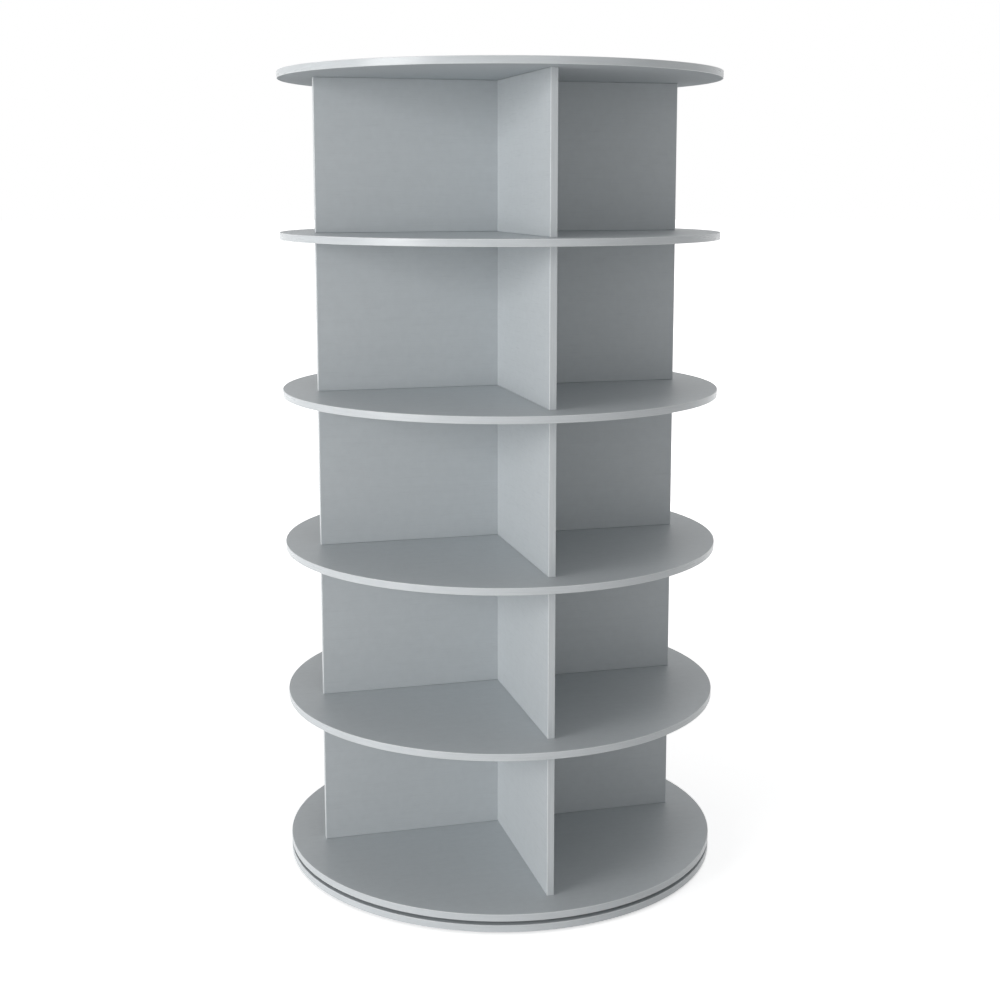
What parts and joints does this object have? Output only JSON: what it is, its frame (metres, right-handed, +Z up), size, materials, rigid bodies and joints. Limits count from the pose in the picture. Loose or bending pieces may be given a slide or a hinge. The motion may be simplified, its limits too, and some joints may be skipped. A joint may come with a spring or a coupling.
{
  "type": "rotating shoe tower",
  "caption": "Free-standing round tower of open tiers for shoes; its boards and upright dividers turn together on a ring bearing above a fixed base board.",
  "frame": {"origin": "on the floor, at the tower's turning axis: the centre of the underside of the feet", "axes": "+Z up along the turning axis; the long dividers lie along X and the half dividers along Y at rest, with -Y the front"},
  "size_m": [0.5999, 0.6, 1.09],
  "materials": {
    "laminate_board": "light grey melamine laminate, fine wood grain, satin",
    "laminate_divider": "light grey melamine laminate, fine wood grain, satin",
    "edge_band": "light grey edge band, satin",
    "foot_rubber": "black rubber, matt",
    "zinc_screw": "zinc plated",
    "ring_aluminium": "mill finish",
    "ball_steel": "polished",
    "cage_nylon": "natural nylon",
    "cap_plastic": "light grey, satin",
    "cam_zinc": "die-cast zinc",
    "bolt_steel": "zinc plated",
    "dowel_beech": "plain beech"
  },
  "bodies": {
    "base": {"base_board": "laminate_board", "base_rim_band": "edge_band", "base_feet": "foot_rubber", "foot_screws": "zinc_screw", "bearing_inner_ring": "ring_aluminium", "inner_ring_screws": "zinc_screw"},
    "ball_ring": {"bearing_balls": "ball_steel", "ball_cage": "cage_nylon"},
    "tower": {"bearing_outer_ring": "ring_aluminium", "outer_ring_screws": "zinc_screw", "bottom_shelf": "laminate_board", "shelf_1": "laminate_board", "shelf_2": "laminate_board", "shelf_3": "laminate_board", "shelf_4": "laminate_board", "top_board": "laminate_board", "bottom_shelf_rim_band": "edge_band", "shelf_1_rim_band": "edge_band", "shelf_2_rim_band": "edge_band", "shelf_3_rim_band": "edge_band", "shelf_4_rim_band": "edge_band", "top_board_rim_band": "edge_band", "tier_1_long_divider": "laminate_divider", "tier_1_front_divider": "laminate_divider", "tier_1_rear_divider": "laminate_divider", "tier_2_long_divider": "laminate_divider", "tier_2_front_divider": "laminate_divider", "tier_2_rear_divider": "laminate_divider", "tier_3_long_divider": "laminate_divider", "tier_3_front_divider": "laminate_divider", "tier_3_rear_divider": "laminate_divider", "tier_4_long_divider": "laminate_divider", "tier_4_front_divider": "laminate_divider", "tier_4_rear_divider": "laminate_divider", "tier_5_long_divider": "laminate_divider", "tier_5_front_divider": "laminate_divider", "tier_5_rear_divider": "laminate_divider", "divider_end_bands": "edge_band", "cam_caps": "cap_plastic", "cam_locks": "cam_zinc", "shelf_bolts": "bolt_steel", "end_bolts": "bolt_steel", "cross_bolts": "bolt_steel", "shelf_dowels": "dowel_beech", "end_dowels": "dowel_beech", "cross_dowels": "dowel_beech"}
  },
  "joints": [
    {"name": "tower_spin", "type": "hinge", "parent": "base", "child": "tower", "pos_m": [0, 0, 0.0155], "axis": [0, 0, 1], "continuous": true},
    {"name": "ball_ring_roll", "type": "hinge", "parent": "base", "child": "ball_ring", "pos_m": [0, 0, 0.0155], "axis": [0, 0, 1], "continuous": true}
  ],
  "couplings": [
    {"joint": "ball_ring_roll", "follows": "tower_spin", "ratio": 0.506}
  ]
}
